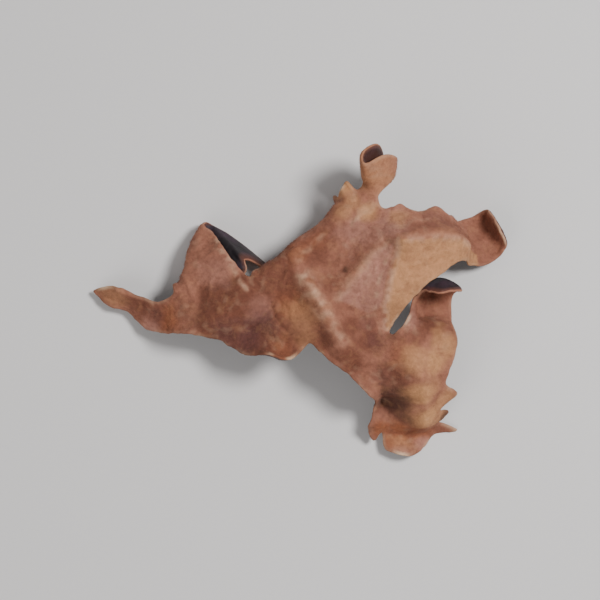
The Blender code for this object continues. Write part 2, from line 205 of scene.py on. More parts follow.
RIGHT_ARM_END_UP = ((29.5, 14.5), 5.0, 2.8, -125.0, 6.0, 5.0)
TOP_DOWN = ((16.0, 17.5), 84.0, 4.0, 60.0, 9.0, 6.0)
LOBE_TOP_DOWN = ((11.0, -8.4), 35.0, 8.0, 27.0)
RIGHT_ARM_DOWN = ((11.0, 12.0), 25.0, 14.0, 60.0)
LOBE_DOWN = ((4.0, -10.0), -68.0, 18.0, 46.0)
WING_DOWN = ((-14.0, 0.0), 180.0, 30.0, 16.0)
MARGIN_DOWN = ((-4.0, 10.0), 122.0, 18.0, 16.0)
SLIT_END = (7.0, -8.0)
# Two headings from the slit's end, the angle by which the lobe between them is swung away from the
# flap, and the distance over which that grows
LOBE_SWING = (-95.0, 12.0, 27.0, 9.0)
# The tip's funnel: the middle of its foot, its heading, its radius at the neck and at the mouth, the
# length between them, half its width at the foot and how fast that grows, and where it has closed
TIP_TUBE = ((2.0, 20.4), 60.0, 1.3, 2.4, 10.0, 2.6, 0.7, 4.0)
# Keeps a tube that hasn't begun to close from an endless radius
LEAST_CURL = 1e-4
# A twist: its start, its heading, its length and its angle
LEFT_ARM_TWIST = ((-40.0, -3.4), 172.0, 16.0, -50.0)
# Lines that part one side of the sheet from the other where only one is folded: a point and a heading
LOBE_FROM_FLAP = (SLIT_END, 42.0)
LOBE_FROM_RIGHT_ARM = ((17.0, 3.0), 10.0)
CORNER_FROM_LEFT_ARM = ((-40.6, 2.6), 168.0)
# How the whole piece is turned, in degrees, to lie on its lowest margins
LEAN_ABOUT_X = -1.79
LEAN_ABOUT_Y = 1.6

# What colours the felt around a place of the flat sheet: the place, how far it reaches, its strength
TINTS = {
    # Worn felt, partly painted shade where the patches lie in valleys and under the flap
    "wear_and_shade": (
        ((2.0, -10.5), 5.5, 0.9), ((-1.0, -14.6), 5.0, 1.0), ((-9.0, 9.0), 7.0, 0.8),
        ((15.6, -9.6), 5.0, 0.9), ((20.0, -14.0), 4.0, 0.6), ((-50.0, 1.0), 5.0, 0.8),
        ((8.4, -17.2), 4.4, 0.8), ((-46.0, -2.0), 5.0, 0.6), ((-1.6, -7.4), 4.4, 0.85),
        ((-6.4, 2.4), 4.0, 0.6), ((-2.0, -2.6), 3.4, 0.3), ((-2.0, 8.0), 4.0, 0.3),
        ((12.6, -10.8), 3.6, 0.7),
    ),
    # Partly painted highlight: the lobe's right side, turned to the light, is made paler; elsewhere
    # paler felt
    "pale": (
        ((11.4, -15.0), 4.0, 0.6), ((12.8, -21.0), 4.0, 0.9), ((14.4, -27.0), 4.5, 1.0),
        ((2.4, 17.6), 3.4, 0.9), ((8.5, 16.0), 3.0, 0.6), ((3.4, 26.5), 9.0, 0.45),
        ((11.0, -36.4), 3.0, 0.35), ((-2.4, 23.4), 3.0, 0.9), ((-55.0, 3.6), 5.0, 0.4),
        ((16.8, -25.4), 3.6, 0.7), ((17.0, -30.0), 3.0, 0.7), ((16.2, -13.4), 3.0, 0.6),
        ((17.2, -15.0), 3.0, 0.7), ((15.0, -16.4), 3.4, 0.9), ((-1.0, 19.8), 3.2, 0.6),
        ((-12.0, -4.8), 6.0, 0.38), ((-11.0, -10.0), 4.0, 0.3), ((-3.0, 18.0), 3.6, 0.5),
    ),
    "pink": (
        ((0.2, 13.0), 6.0, 0.6), ((6.5, 13.6), 5.0, 0.75), ((8.0, 16.8), 4.0, 0.6),
        ((10.5, -38.0), 2.6, 0.8), ((15.4, -36.6), 2.6, 0.7), ((-49.0, -4.8), 3.6, 0.7),
        ((-21.0, -3.6), 4.5, 0.4), ((12.0, -7.2), 3.0, 0.6), ((-30.0, 6.0), 6.0, 0.4),
    ),
    "rust": (
        ((-12.8, 8.4), 3.6, 0.5), ((-9.0, 11.4), 3.4, 0.4), ((-14.6, -2.6), 5.5, 0.5),
        ((7.2, -32.0), 3.0, 1.0), ((10.6, -31.6), 3.4, 1.0), ((13.4, -31.0), 3.0, 0.8),
        ((10.4, -34.6), 4.0, 0.8), ((15.0, -34.2), 4.0, 0.7), ((3.4, 27.0), 6.0, 0.4),
        ((-43.0, -2.8), 4.5, 0.8), ((-16.0, -12.6), 4.0, 0.5), ((8.6, -13.0), 3.0, 0.4),
    ),
    # Partly painted shade: the purple-brown wash is laid in the wing's hollow, the body's valley, the
    # lobe's hollow and above the flap's top edge
    "stain_and_shade": (
        ((-20.6, -6.6), 5.0, 0.6), ((-24.0, -10.0), 5.5, 0.7), ((-28.4, -9.4), 5.0, 0.5),
        ((2.2, -6.6), 2.8, 0.4), ((3.8, -10.6), 3.4, 0.4), ((5.2, -18.0), 3.4, 0.3),
        ((-46.0, -1.8), 3.0, 0.4), ((15.0, 15.4), 3.5, 0.3),
    ),
    # Painted shade: darkening in the lobe's hollow, the tip's funnel, round the slit and under the flap
    "hollow": (
        ((7.2, -22.2), 3.8, 0.7), ((8.6, -26.0), 5.2, 0.85), ((10.8, -28.4), 2.8, 0.6),
        ((3.0, 24.0), 2.0, 0.4), ((7.4, -9.2), 1.8, 0.5), ((18.4, -30.2), 2.0, 0.8),
        ((-2.4, 4.6), 0.9, 0.7), ((8.2, -4.6), 4.4, 0.28), ((13.4, -0.4), 4.0, 0.2),
    ),
    "cream": (
        ((-2.0, 24.2), 4.0, 1.0), ((0.6, 31.5), 5.0, 1.0), ((9.0, 18.0), 5.0, 0.8),
        ((-58.0, 4.6), 5.0, 0.9), ((-15.0, -14.4), 6.0, 0.9), ((12.0, -38.4), 6.0, 0.9),
        ((19.4, -25.0), 3.5, 0.9), ((10.5, -6.4), 4.5, 0.7), ((-22.0, 9.0), 6.0, 0.5),
        ((36.5, 15.0), 6.0, 0.4), ((21.0, -34.6), 3.5, 0.7), ((-48.0, 15.0), 6.0, 0.4),
    ),
}
# The edges of those places are broken up: how long, how much, and the seed of each
TINT_RAGGED = ((4.0, 0.5, 51.0), (1.7, 0.35, 53.0))
# Above 1, a place is at its full strength before its middle
TINT_FILL = 1.25
# Pale loose felt and the painted highlight along the creases: how long the flecks are, and the values
# from which the noise stands for a fleck or for the painted highlight, with the softness of their edges
FLECK_LENGTH = 1.4
FLECK_SEED = 81.0
FLECK_START = 0.02
FLECK_SOFT = 0.3
HIGHLIGHT_START = -0.5
HIGHLIGHT_SOFT = 0.5
# Stray flecks away from the creases: their strength, and the length and contrast of their clusters
STRAY_FLECKS = 0.18
STRAY_LENGTH = 5.0
STRAY_CONTRAST = 2.5
STRAY_SEED = 83.0
# The rim is bleached over this width, in lengths of this order, with a bias and a contrast
BLEACHED_WIDTH = 0.5
BLEACHED_LENGTH = 3.0
BLEACHED_SEED = 87.0
BLEACHED_BIAS = 0.35
BLEACHED_CONTRAST = 1.4
# Its share away from the places that are cream, and the share that those add
BLEACHED_ANYWHERE = 0.15
BLEACHED_IF_CREAM = 0.85
FELT_CARRIED = (
    "wear_and_shade", "rust", "pink", "stain_and_shade", "pale", "hollow", "crest", "crease_highlight", "flecked", "bleached",
)
# Facets that creases bound, each of one colour, partly painted light and shade: the tint, its strength,
# its soft edge, its outline
FACETS = (
    # Painted shade: a dark band along the flap's top edge, where the fold casts shade
    ("wear_and_shade", 0.55, 0.8, (
        (8.8, 11.2), (16.0, 11.5), (24.0, 11.1), (30.0, 12.8), (30.0, 16.2), (17.0, 15.4), (9.0, 13.8),
    )),
    # Painted highlight: the flap's face, turned to the key light, is made pale
    ("pale", 0.8, 0.5, (
        (6.0, -8.6), (5.6, -3.0), (6.7, 2.6), (8.5, 10.6), (16.0, 11.0), (24.0, 10.6), (31.0, 12.0),
        (31.0, 6.0), (17.0, 1.0), (10.0, -6.0),
    )),
    ("pink", 0.65, 0.7, (
        (-4.6, -1.6), (-0.5, 3.4), (3.6, 8.6), (8.2, 10.4), (6.4, 2.6), (5.4, -3.0), (2.6, -4.6),
    )),
    # The wing's red-brown wear, with painted shade on its side turned from the light
    ("wear_and_shade", 0.9, 2.2, (
        (-12.6, 12.6), (-12.0, 5.0), (-9.8, 0.4), (-7.2, -3.8), (-3.4, -10.6), (-8.0, -17.0),
        (-22.0, -17.0), (-36.0, -12.0), (-36.0, 4.0), (-24.0, 6.0), (-19.0, 20.0),
    )),
)
# What is laid on the flat sheet wanders by this share of the warp
WANDER = 0.15
# Lines along a crest: its points, how wide it is, its share of loose flecks and that of a painted
# highlight
LINES = (
    (((-11.4, 3.2), (-9.6, 0.2)), 2.6, 0.5, 0.5),
    (((-9.6, 0.2), (-6.6, -5.2)), 2.4, 0.35, 0.35),
    (((-6.6, -5.2), (-4.6, -8.4), (-3.4, -10.6)), 2.0, 0.25, 0.25),
    (((8.7, 10.3), (6.9, 2.6), (5.8, -3.0), (6.1, -7.6)), 1.1, 0.1, 0.65),
    (((8.7, 10.3), (16.0, 10.8), (24.0, 10.3)), 0.9, 0.1, 0.45),
    (((-24.0, 1.0), (-25.2, 2.7), (-27.2, 6.9), (-29.4, 10.1), (-31.5, 13.5)), 0.9, 0.2, 0.6),
    (((-4.2, -1.0), (-0.5, 3.4), (3.4, 8.2), (6.0, 9.8)), 1.8, 0.15, 0.3),
    (((3.6, -3.4), (4.4, 2.4), (6.6, 8.0)), 0.8, 0.3, 0.25),
    (((-12.6, 7.2), (-10.0, 9.8), (-7.4, 12.6)), 1.2, 0.15, 0.2),
    (((-0.4, 15.2), (1.2, 17.4), (3.0, 18.6)), 1.8, 0.3, 0.3),
)

# A hair of the nap: its sides, and the shortest as a share of the longest
HAIR_SIDES = 3
SHORTEST_HAIR = 0.45
# Each light's place and its width, in metres
KEY_LIGHT = ((0.287, 0.104, 0.47), 0.16)
FILL_LIGHT = ((-0.3, -0.35, 0.4), 0.5)
# The sockets of a Mix node for colours, whose names other kinds of value share
MIX_UNDER = 6
MIX_OVER = 7
MIX_COLOUR = 2


def linear(code):
    """The linear colour of an sRGB hex value."""
    shares = [int(code[i:i + 2], 16) / 255 for i in (1, 3, 5)]
    return tuple(c / 12.92 if c <= 0.04045 else ((c + 0.055) / 1.055) ** 2.4 for c in shares)


class WoodEarSheetSettings(bpy.types.PropertyGroup):
    thickness: FloatProperty(
        name="Thickness", description="Of the dry sheet, away from its rim",
        default=1.15 * MM, unit="LENGTH", precision=5)
    spacing: FloatProperty(
        name="Point spacing", description="Between the points of the fine surface",
        default=0.33 * MM, unit="LENGTH", precision=5)
    wrinkle_height: FloatProperty(
        name="Wrinkle height", description="Multiplies the height of the fine wrinkles", default=1.0)
    felt_tan: FloatVectorProperty(
        name="Felt", description="The felt where it is thick and clean",
        subtype="COLOR", default=linear("#9a6551"))
    # Also the colour of the painted shade along the flap's top edge, under the flap and on the wing's
    # far side
    felt_brown: FloatVectorProperty(
        name="Worn felt", description="The felt where the flesh shows through",
        subtype="COLOR", default=linear("#6c3f30"))
    # Paler felt, and the colour of the painted highlight on facets turned to the light
    pale_felt_and_highlight: FloatVectorProperty(
        name="Pale felt", description="The yellowish felt on turned-out facets",
        subtype="COLOR", default=linear("#ba865c"))
    felt_pink: FloatVectorProperty(
        name="Pink felt", description="The thick felt that dried greyish pink",
        subtype="COLOR", default=linear("#a97768"))
    # The colour of the painted highlight along the creases
    crease_highlight_colour: FloatVectorProperty(
        name="Rubbed felt", description="The pale felt rubbed up along the creases",
        subtype="COLOR", default=linear("#c3977c"))
    felt_rust: FloatVectorProperty(
        name="Rust felt", description="Thin felt over orange-brown flesh",
        subtype="COLOR", default=linear("#92563a"))
    # Also the colour of the painted shade in the wing's hollow and the valleys
    stain_and_shade_colour: FloatVectorProperty(
        name="Stain", description="The purple-brown wash of the spores",
        subtype="COLOR", default=linear("#5b3836"))
    # The colour of the painted shade in the hollows, the valleys and round the slit
    painted_hollow_shade: FloatVectorProperty(
        name="Hollow", description="Bare dark flesh in the hollows",
        subtype="COLOR", default=linear("#42261f"))
    rim_cream: FloatVectorProperty(
        name="Rim", description="The bleached parts of the thin rim",
        subtype="COLOR", default=linear("#d9b795"))
    face_dark: FloatVectorProperty(
        name="Dark face", description="The fertile face where it is darkest",
        subtype="COLOR", default=linear("#1e181b"))
    face_bloom: FloatVectorProperty(
        name="Bloom", description="The purple-grey bloom on the dark face",
        subtype="COLOR", default=linear("#50374a"))


class WoodEarNapSettings(bpy.types.PropertyGroup):
    depth: FloatProperty(
        name="Depth", description="How far the sheet's back lies under the tips of the nap",
        default=0.2 * MM, unit="LENGTH", precision=5)
    hair_length: FloatProperty(
        name="Hair length", description="Of the longest hairs",
        default=0.42 * MM, unit="LENGTH", precision=5)
    hair_radius: FloatProperty(
        name="Hair radius", description="At a hair's foot",
        default=0.035 * MM, unit="LENGTH", precision=6)
    per_square_millimetre: FloatProperty(
        name="Hairs per square millimetre", description="How close the hairs stand", default=12.0)
    lean: FloatProperty(
        name="Lean", description="How far a hair may lean from upright",
        default=math.radians(52), subtype="ANGLE")
    seed: IntProperty(name="Seed", description="Of the places of the hairs", default=11)
    lighter: FloatProperty(
        name="Lighter", description="How much lighter the hairs are than the felt under them",
        default=1.18)


class WoodEarStageSettings(bpy.types.PropertyGroup):
    floor: FloatVectorProperty(
        name="Floor", description="The plain floor", subtype="COLOR", default=linear("#dcd9d8"))
    floor_size: FloatProperty(
        name="Floor size", description="Side of the floor", default=3.0, unit="LENGTH")
    elevation: FloatProperty(
        name="Camera elevation", description="Above the floor",
        default=math.radians(85), subtype="ANGLE")
    lens: FloatProperty(name="Lens", description="Focal length in millimetres", default=150.0)
    fill_of_view: FloatProperty(
        name="Share of the view", description="How much of the view's width the piece takes",
        default=0.7, subtype="FACTOR", min=0.1, max=1.0)
    key_power: FloatProperty(
        name="Key light", description="Power of the light from the right", default=3.4)
    fill_power: FloatProperty(
        name="Fill light", description="Power of the light from the left", default=1.2)
    sky: FloatProperty(name="Sky", description="Strength of the light from all round", default=0.26)


def ease(t):
    """A smooth step from 0 to 1."""
    t = np.clip(t, 0.0, 1.0)
    return t * t * (3.0 - 2.0 * t)


def direction(heading):
    """The unit vector at a heading in degrees, anticlockwise from +x."""
    return np.array([np.cos(np.radians(heading)), np.sin(np.radians(heading))])


def noise_at(flat, length, seed):
    """Smooth noise between about -1 and 1 whose features are as wide as the length."""
    return np.array([noise.noise(Vector((x / length, y / length, seed))) for x, y in flat])


def closed_curve(points, spacing):
    """A smooth closed curve through the points, as points about the spacing apart."""
    points = np.array(points)
    before, after, beyond = np.roll(points, 1, 0), np.roll(points, -1, 0), np.roll(points, -2, 0)
    curve = []
    for p0, p1, p2, p3 in zip(before, points, after, beyond):
        steps = max(2, round(float(np.linalg.norm(p2 - p1)) / spacing))
        for t in np.arange(steps) / steps:
            bend_in = p1 + 0.5 * t * ((p2 - p0) + t * (2 * p0 - 5 * p1 + 4 * p2 - p3))
            curve.append(bend_in + 0.5 * t**3 * (3 * p1 - 3 * p2 + p3 - p0))
    return np.array(curve)


def outward(curve):
    """The unit normal of an anticlockwise closed curve at each of its points."""
    along = np.roll(curve, -1, 0) - np.roll(curve, 1, 0)
    across = np.column_stack([along[:, 1], -along[:, 0]])
    return across / np.linalg.norm(across, axis=1)[:, None]


def distance_to(points, line, closed):
    """For each point, its distance to a line of points, the place along it, and its side: 1 at the
    left, -1 at the right and in between beyond the line's ends.
    """
    starts = line if closed else line[:-1]
    runs = (np.roll(line, -1, 0) if closed else line[1:]) - starts
    best = np.full(len(points), np.inf)
    place = np.zeros(len(points))
    side = np.ones(len(points))
    for index, (start, run) in enumerate(zip(starts, runs)):
        offset = points - start
        share = np.clip(offset @ run / (run @ run), 0.0, 1.0)
        gap = np.linalg.norm(offset - share[:, None] * run, axis=1)
        nearer = gap < best
        best[nearer] = gap[nearer]
        place[nearer] = index + share[nearer]
        across = run[0] * offset[:, 1] - run[1] * offset[:, 0]
        side[nearer] = (across / np.maximum(np.linalg.norm(run) * gap, LEAST_GAP))[nearer]
    return best, place, side


def inside(points, curve):
    """Which points lie inside a closed curve."""
    within = np.zeros(len(points), bool)
    for (x0, y0), (x1, y1) in zip(curve, np.roll(curve, -1, 0)):
        spans = (points[:, 1] < y0) != (points[:, 1] < y1)
        if y0 != y1:
            within ^= spans & (points[:, 0] < x0 + (points[:, 1] - y0) * (x1 - x0) / (y1 - y0))
    return within


def lattice(low, high, spacing):
    """Points of a triangular lattice over a rectangle."""
    rows = np.arange(low[1], high[1], spacing * np.sqrt(3) / 2)
    columns = np.arange(low[0], high[0], spacing)
    points = []
    for index, y in enumerate(rows):
        points.append(np.column_stack([columns + spacing / 2 * (index % 2), np.full(len(columns), y)]))
    return np.concatenate(points)


def flat_sheet(spacing):
    """The opened-out sheet: its points, triangles, distance from the rim, and how many rim points."""
    rim = closed_curve(OUTLINE, spacing)
    ragged = RAGGED_DEPTH * noise_at(rim, RAGGED_LENGTH, RAGGED_SEED)
    finer = noise_at(rim, FINER_RAGGED_LENGTH * RAGGED_LENGTH, 2 * RAGGED_SEED)
    ragged += FINER_RAGGED_DEPTH * RAGGED_DEPTH * finer
    rim = rim + outward(rim) * ragged[:, None]
    points = lattice(rim.min(0), rim.max(0), spacing)
    points = points[inside(points, rim)]
    points = points[distance_to(points, rim, True)[0] > RIM_ROOM * spacing]
    corners = [Vector(point) for point in np.concatenate([rim, points])]
    only_inside = 1
    made = delaunay_2d_cdt(corners, [], [range(len(rim))], only_inside, MERGE_WITHIN)
    flat, triangles = (np.array([tuple(row) for row in rows]) for rows in (made[0], made[2]))
    return flat, triangles, distance_to(flat, rim, True)[0], len(rim)


def crests(flat):
    """The height of the main ridges at each point, and how near each point is to one: -1 to 1."""
    height = np.zeros(len(flat))
    nearness = np.zeros(len(flat))
    for points, heights, left_reach, right_reach in RELIEF.values():
        gap, place, side = distance_to(flat, np.array(points), False)
        crest = np.interp(place, np.arange(len(heights)), heights)
        reach = right_reach + (left_reach - right_reach) * ease(0.5 + ROUND_THE_ENDS * side)
        gap = np.hypot(gap, CREST_ROUNDING) - CREST_ROUNDING
        height += crest * np.clip(1.0 - gap / reach, 0.0, 1.0) ** CREST_SHARPNESS
        counted = np.clip(crest / FULL_CREST, MOST_VALLEY, 1.0)
        nearness += counted * np.exp(-((gap / CREST_REACH) ** 2))
    return height, np.clip(nearness, -1.0, 1.0)


def relief(flat, rim_distance):
    """The height of each point of the flat sheet."""
    height = crests(flat)[0]
    for length, amplitude, seed in CRUMPLE:
        height += amplitude * noise_at(flat, length, seed)
    near_rim = ease(1.0 - rim_distance / RUFFLE_REACH)
    for centre, reach in SMOOTH_ROLLS:
        away = ease(np.linalg.norm(flat - np.array(centre), axis=1) / reach - SMOOTH_CORE)
        near_rim = near_rim * (SMOOTH_SHARE + (1.0 - SMOOTH_SHARE) * away)
    return height + RUFFLE_HEIGHT * near_rim * noise_at(flat, RUFFLE_LENGTH, RUFFLE_SEED)


def warped(flat):
    """The flat places pushed about by noise, so that what is laid on them wanders."""
    moved = flat.copy()
    for length, amount, seed in WARP:
        push = [noise_at(flat, length, seed), noise_at(flat, length, seed + 1.0)]
        moved = moved + amount * np.column_stack(push)
    return moved


def wrinkles(flat):
    """Fine wrinkles and creases: their height, and how much of a crest or a valley each point is."""
    height = np.zeros(len(flat))
    crest = np.zeros(len(flat))
    moved = warped(flat)
    for sign, folds in ((1.0, WRINKLES), (-1.0, CREASES)):
        for length, amplitude, seed in folds:
            line = np.abs(noise_at(moved, length, seed))
            ridge = np.clip(1.0 - WRINKLE_NARROWNESS * line, 0.0, 1.0)
            patchy = ease(0.5 + PATCH_CONTRAST * noise_at(flat, PATCH_LENGTH * length, seed + 1.0))
            height += sign * amplitude * ridge**2 * patchy
            crest += sign * ridge**3 * patchy * min(1.0, amplitude / FULL_WRINKLE)
    return height, np.clip(crest, -1.0, 1.0)


def right_of(flat, start, heading):
    """1 for points of the flat sheet to the right of a line, seen along it, and 0 to its left."""
    return ((flat - np.array(start)) @ direction(heading - 90) > 0).astype(float)


def from_line(points, at, heading):
    """How far each point is along a heading from a place, and how far to its left."""
    offset = points[:, :2] - np.array(at)
    return offset @ direction(heading), offset @ direction(heading + 90)


def to_points(at, heading, p, q, height):
    """The points that are so far along a heading from a place and to its left, at their heights."""
    plan = np.array(at) + p[:, None] * direction(heading) + q[:, None] * direction(heading + 90)
    return np.column_stack([plan, height])


def bend(points, at, heading, radius, angle, half_width=None, soft=4.0, share=1.0):
    """Bends the sheet beyond a line: down for a positive angle, up for a negative one."""
    p, q = from_line(points, at, heading)
    strength = share * np.ones(len(points))
    if half_width is not None:
        strength = strength * (1.0 - ease((np.abs(q) - half_width) / soft))
    up = -np.sign(angle)
    most = np.radians(abs(angle)) * strength
    turn = np.clip(p / radius, 0.0, most)
    rest = np.maximum(p - radius * most, 0.0)
    height = points[:, 2] * up
    height = height - ease(turn / ROLL_ROOM_TURN) * np.maximum(height - ROLL_ROOM * radius, 0.0)
    bent_p = np.where(p > 0, (radius - height) * np.sin(turn) + rest * np.cos(turn), p)
    bent_h = np.where(p > 0, radius - (radius - height) * np.cos(turn) + rest * np.sin(turn), height)
    return to_points(at, heading, bent_p, q, bent_h * up)


def roll_lengthwise(points, base, heading, neck_radius, mouth_radius, length, reach, spread, closing):
    """Rolls a tongue of the sheet towards its dark face into a tube that widens along the heading."""
    p, q = from_line(points, base, heading)
    within = (p > 0) & (np.abs(q) < reach + spread * p)
    radius = np.interp(p, (0.0, length), (neck_radius, mouth_radius))
    curl = np.maximum(ease(p / closing), LEAST_CURL) / radius
    turn = q * curl
    height = points[:, 2]
    rolled_q = np.where(within, np.sin(turn) * (1.0 / curl + height), q)
    rolled_h = np.where(within, np.cos(turn) * (1.0 / curl + height) - 1.0 / curl, height)
    return to_points(base, heading, p, rolled_q, rolled_h)


def twist(points, start, heading, length, angle):
    """Turns the sheet about a line along the heading, more and more from the start to its length."""
    p, q = from_line(points, start, heading)
    turn = np.radians(angle) * ease(p / length)
    height = points[:, 2]
    turned_q = q * np.cos(turn) - height * np.sin(turn)
    turned_h = q * np.sin(turn) + height * np.cos(turn)
    return to_points(start, heading, p, turned_q, turned_h)


def swing(points, flat, apex, first, last, angle, grow, share):
    """Turns the sheet in its own plane about an apex, from nothing at one heading to all at another."""
    spread = flat - np.array(apex)
    heading = np.degrees(np.arctan2(spread[:, 1], spread[:, 0]))
    share = share * ease((heading - first) / (last - first))
    turn = np.radians(angle) * share * ease(np.linalg.norm(spread, axis=1) / grow)
    offset = points[:, :2] - np.array(apex)
    plan = np.column_stack([
        offset[:, 0] * np.cos(turn) - offset[:, 1] * np.sin(turn),
        offset[:, 0] * np.sin(turn) + offset[:, 1] * np.cos(turn),
    ])
    return np.column_stack([plan + np.array(apex), points[:, 2]])


def lean(points, about_x, about_y):
    """Turns the whole piece so that it lies on its lowest margins."""
    a, b = np.radians(about_x), np.radians(about_y)
    x, y, z = points.T
    y, z = y * np.cos(a) - z * np.sin(a), y * np.sin(a) + z * np.cos(a)
    x, z = x * np.cos(b) + z * np.sin(b), z * np.cos(b) - x * np.sin(b)
    return np.column_stack([x, y, z])


def dried(flat, height):
    """The middle surface of the dried piece, folded from its tips inwards."""
    lobe = right_of(flat, *LOBE_FROM_FLAP) * right_of(flat, *LOBE_FROM_RIGHT_ARM)
    corner = right_of(flat, *CORNER_FROM_LEFT_ARM)
    points = np.column_stack([flat, height])
    points = bend(points, *LOBE_MARGIN_UP, lobe)
    points = bend(points, *LOBE_TOP_DOWN, share=lobe)
    points = swing(points, flat, SLIT_END, *LOBE_SWING, lobe)
    points = roll_lengthwise(points, *TIP_TUBE)
    points = bend(points, *CURLED_TIP_OVER)
    points = bend(points, *CORNER_UNDER, corner)
    points = bend(points, *MARGIN_UNDER)
    points = bend(points, *FOOT_UP)
    points = bend(points, *FOOT_DOWN)
    points = bend(points, *LEFT_ARM_DOWN, 1.0 - corner)
    points = bend(points, *FRILL_UP)
    points = bend(points, *RIGHT_ARM_END_UP)
    points = bend(points, *TOP_DOWN)
    points = twist(points, *LEFT_ARM_TWIST)
    points = bend(points, *RIGHT_ARM_DOWN)
    points = bend(points, *LOBE_DOWN)
    points = bend(points, *WING_DOWN)
    points = bend(points, *MARGIN_DOWN)
    return lean(points, LEAN_ABOUT_X, LEAN_ABOUT_Y)


def normals_of(points, triangles):
    """The unit normal of the sheet at each point."""
    a, b, c = (points[triangles[:, k]] for k in range(3))
    facing = np.cross(b - a, c - a)
    total = np.zeros_like(points)
    for k in range(3):
        np.add.at(total, triangles[:, k], facing)
    return total / np.linalg.norm(total, axis=1)[:, None]


def evened(normal, triangles):
    """Normals averaged with their neighbours', so that no side crosses itself in a tight fold."""
    for _ in range(NORMAL_ROUNDS):
        total = normal.copy()
        for a, b in ((0, 1), (1, 2), (2, 0)):
            np.add.at(total, triangles[:, a], normal[triangles[:, b]])
            np.add.at(total, triangles[:, b], normal[triangles[:, a]])
        normal = total / np.linalg.norm(total, axis=1)[:, None]
    return normal


def half_thickness(rim_distance, thickness):
    """Half the sheet's thickness, which rounds down to a thin rim."""
    depth = 1.0 - np.clip(rim_distance / RIM_TAPER, 0.0, 1.0)
    return RIM_HALF_THICKNESS + (thickness / 2 - RIM_HALF_THICKNESS) * np.sqrt(1.0 - depth**2)


def patches(flat, spots):
    """Soft patches at the given places of the flat sheet, with edges broken up by noise."""
    ragged = 1.0 + sum(amount * noise_at(flat, length, seed) for length, amount, seed in TINT_RAGGED)
    total = np.zeros(len(flat))
    for centre, reach, strength in spots:
        gap = np.linalg.norm(flat - np.array(centre), axis=1) * ragged
        total = np.maximum(total, strength * ease(TINT_FILL * (1.0 - gap / reach)))
    return total


def facet(flat, strength, soft, outline):
    """A tint that fills an outline on the flat sheet up to its soft edge."""
    outline = np.array(outline)
    return strength * inside(flat, outline) * ease(distance_to(flat, outline, True)[0] / soft)


def tints(flat, rim_distance):
    """The strength of each tint at each point of the flat sheet."""
    found = {name: patches(flat, spots) for name, spots in TINTS.items()}
    moved = flat + WANDER * (warped(flat) - flat)
    for name, strength, soft, outline in FACETS:
        found[name] = np.maximum(found[name], facet(moved, strength, soft, outline))
    flecked = STRAY_FLECKS * ease(STRAY_CONTRAST * noise_at(flat, STRAY_LENGTH, STRAY_SEED))
    crease_highlight = np.zeros(len(flat))
    for line, width, fleck_share, highlight_share in LINES:
        near = ease(1.0 - distance_to(moved, np.array(line), False)[0] / width)
        flecked = np.maximum(flecked, fleck_share * near)
        crease_highlight = np.maximum(crease_highlight, highlight_share * near)
    loose = noise_at(flat, FLECK_LENGTH, FLECK_SEED)
    found["flecked"] = flecked * ease((loose - FLECK_START) / FLECK_SOFT)
    found["crease_highlight"] = crease_highlight * ease((loose - HIGHLIGHT_START) / HIGHLIGHT_SOFT)
    broken = noise_at(flat, BLEACHED_LENGTH, BLEACHED_SEED)
    edge = ease((BLEACHED_WIDTH - rim_distance) / BLEACHED_WIDTH)
    edge = edge * ease(BLEACHED_BIAS + BLEACHED_CONTRAST * broken)
    found["bleached"] = edge * (BLEACHED_ANYWHERE + BLEACHED_IF_CREAM * found.pop("cream"))
    return found


def add_node(tree, kind, values=None, links=None, **settings):
    """Adds a node with its properties, its sockets' values and the links into it."""
    node = tree.nodes.new(kind)
    for name, value in settings.items():
        setattr(node, name, value)
    for socket, value in (values or {}).items():
        node.inputs[socket].default_value = value
    for socket, source in (links or {}).items():
        tree.links.new(source, node.inputs[socket])
    return node


def new_material(name):
    """A material with only a Principled shader and its output, and that shader."""
    material = bpy.data.materials.new(name)
    material.use_nodes = True
    tree = material.node_tree
    tree.nodes.clear()
    shader = add_node(tree, "ShaderNodeBsdfPrincipled")
    add_node(tree, "ShaderNodeOutputMaterial", links={"Surface": shader.outputs["BSDF"]})
    return material, tree, shader


def sized(millimetres):
    """The noise scale on coordinates in metres whose features are that many millimetres wide."""
    return 1000.0 / millimetres


def sources_of(tree, grains, carried):
    """The sockets that coats follow: noises on Object coordinates, each with its size in millimetres,
    detail, roughness and distortion, and the numbers that the mesh carries.
    """
    place = add_node(tree, "ShaderNodeTexCoord").outputs["Object"]
    sources = {}
    for name, (millimetres, detail, roughness, distortion) in grains.items():
        values = {
            "Scale": sized(millimetres), "Detail": detail,
            "Roughness": roughness, "Distortion": distortion,
        }
        sources[name] = add_node(tree, "ShaderNodeTexNoise", values, {"Vector": place}).outputs["Fac"]
    for name in carried:
        sources[name] = add_node(tree, "ShaderNodeAttribute", attribute_name=name).outputs["Fac"]
    return sources


def spread_over(tree, source, start, full, least, most):
    """The socket of a number that goes from least to most as its source goes from start to full."""
    values = {"From Min": start, "From Max": full, "To Min": least, "To Max": most}
    return add_node(tree, "ShaderNodeMapRange", values, {"Value": source}).outputs["Result"]


def coated(tree, base, sources, coats):
    """The socket of a colour under coats of others. Each coat has its source, the values at which it
    starts and is full, its share where it is full, and its colour.
    """
    values, links = {MIX_UNDER: (*base, 1.0)}, {}
    for name, start, full, most, tone in coats:
        links["Factor"] = spread_over(tree, sources[name], start, full, 0.0, most)
        values[MIX_OVER] = (*tone, 1.0)
        coat = add_node(tree, "ShaderNodeMix", values, links, data_type="RGBA")
        values, links = {}, {MIX_UNDER: coat.outputs[MIX_COLOUR]}
    return coat.outputs[MIX_COLOUR]


def puckered(tree, shader, bumps):
    """Bumps one over another, finest first: each a height, its strength and its depth in mm."""
    links = {}
    for height, strength, depth in bumps:
        bump = add_node(tree, "ShaderNodeBump", {"Strength": strength, "Distance": depth * MM},
                        {**links, "Height": height})
        links = {"Normal": bump.outputs["Normal"]}
    tree.links.new(bump.outputs["Normal"], shader.inputs["Normal"])


